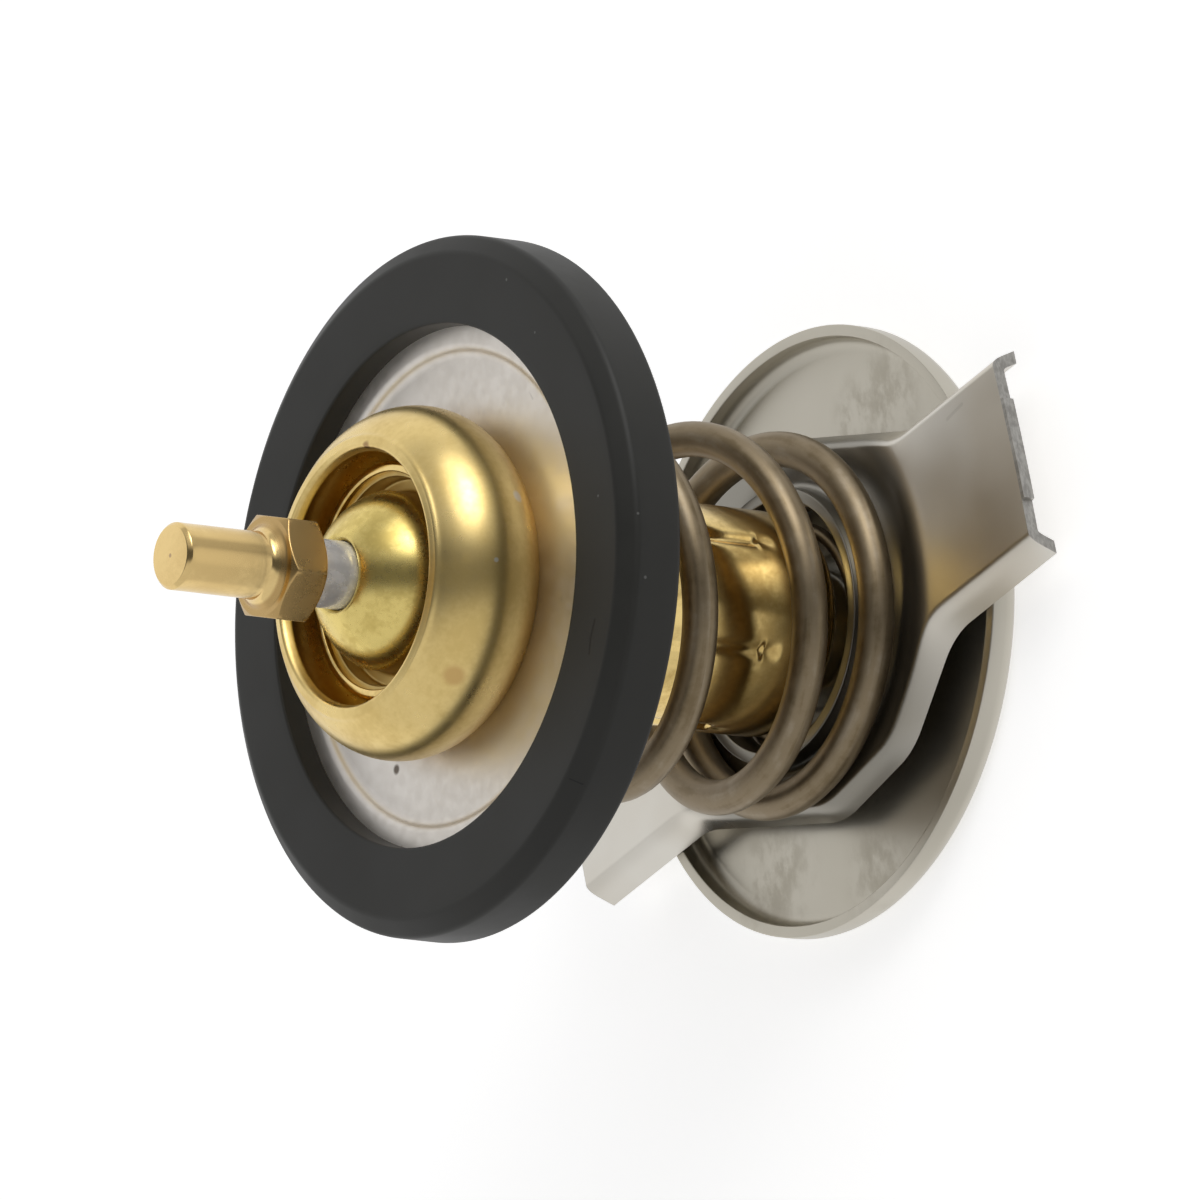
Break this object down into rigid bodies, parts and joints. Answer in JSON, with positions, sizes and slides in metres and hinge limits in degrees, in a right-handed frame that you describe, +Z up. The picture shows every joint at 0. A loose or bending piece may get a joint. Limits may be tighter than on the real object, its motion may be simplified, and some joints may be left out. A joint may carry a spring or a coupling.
{
  "type": "insert thermostat",
  "caption": "Wax-actuated insert valve with a rubber rim seal, coil spring, two-armed bracket and sprung bypass disc.",
  "frame": {"origin": "centre of the flat back of the bypass disc, the lowest point of the part", "axes": "+Z up the valve's axis towards the pin's tip, X along the bracket's two arms, Y across them"},
  "size_m": [0.077, 0.0666, 0.0772],
  "materials": {
    "stainless": "satin",
    "bright_plate": "satin",
    "steel": "satin",
    "pin_steel": "polished",
    "spring_steel": "satin",
    "brass": "satin",
    "rubber": "matte",
    "ring_plastic": "matte",
    "wax": "matte"
  },
  "bodies": {
    "element": {"wax_case": "brass", "wax_charge": "wax", "rubber_boot": "rubber", "backing_ring": "ring_plastic", "piston_guide": "brass", "pin_wiper": "rubber", "valve_collar": "brass", "valve_plate": "bright_plate", "rubber_seal": "rubber", "bypass_stem": "brass", "stem_washer": "steel", "stem_clip": "steel", "main_spring": "spring_steel", "bypass_spring": "spring_steel"},
    "piston": {"piston_pin": "pin_steel", "piston_cap": "brass"},
    "bracket": {"bracket": "stainless"},
    "disc": {"bypass_disc": "stainless"}
  },
  "joints": [
    {"name": "piston_slide", "type": "slide", "parent": "element", "child": "piston", "axis": [0, 0, 1], "range_m": [0, 0.009]},
    {"name": "bracket_slide", "type": "slide", "parent": "element", "child": "bracket", "axis": [0, 0, 1], "range_m": [0, 0.009], "stiffness_N_per_m": 5000, "springref_m": -0.012, "deforming": ["main_spring"]},
    {"name": "disc_slide", "type": "slide", "parent": "element", "child": "disc", "axis": [0, 0, 1], "range_m": [0, 0.0024], "deforming": ["bypass_spring"]}
  ],
  "couplings": [
    {"joint": "disc_slide", "follows": "bracket_slide", "ratio": 0.2666}
  ]
}
